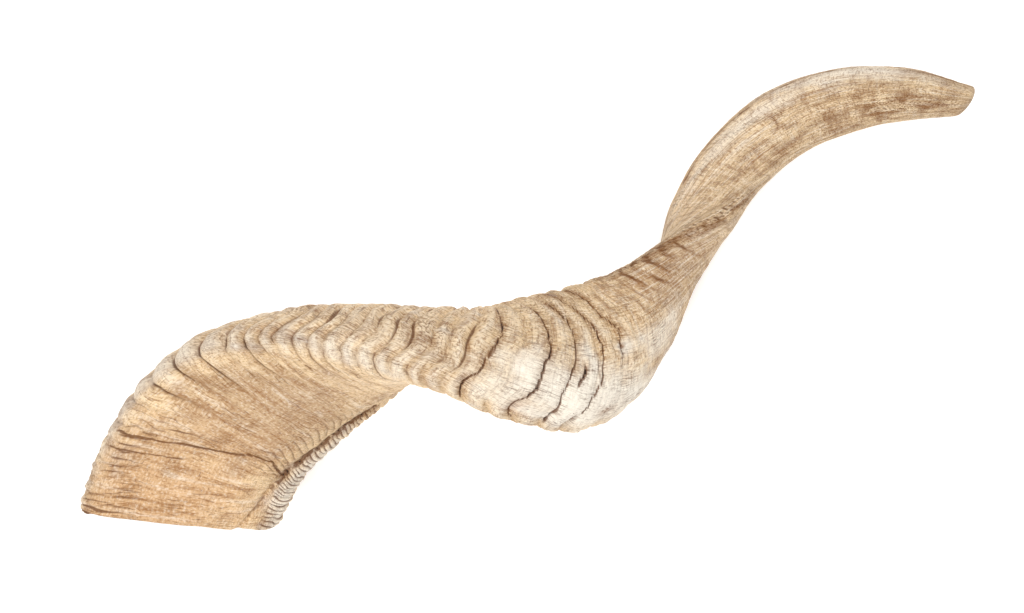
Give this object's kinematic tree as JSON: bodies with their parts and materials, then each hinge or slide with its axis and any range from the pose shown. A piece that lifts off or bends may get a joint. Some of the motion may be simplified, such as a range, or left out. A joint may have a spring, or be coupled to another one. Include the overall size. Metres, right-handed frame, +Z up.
{
  "type": "sheep horn",
  "caption": "Hollow twisted sheep horn lying on its back: growth ribs over belly and keel, a smooth flat face, a worn blunt tip and an open socket at the cut root.",
  "frame": {"origin": "middle of the horn's box, on the surface that the horn lies on", "axes": "+X along the horn's longest extent from the root towards the tip, +Z up away from the surface"},
  "size_m": [0.3654, 0.1898, 0.0958],
  "materials": {
    "horn_keratin": "dry weathered horn keratin, matt, straw to grey-brown with fine fibres and dark growth furrows"
  },
  "bodies": {
    "root": {"horn": "horn_keratin"}
  },
  "joints": []
}
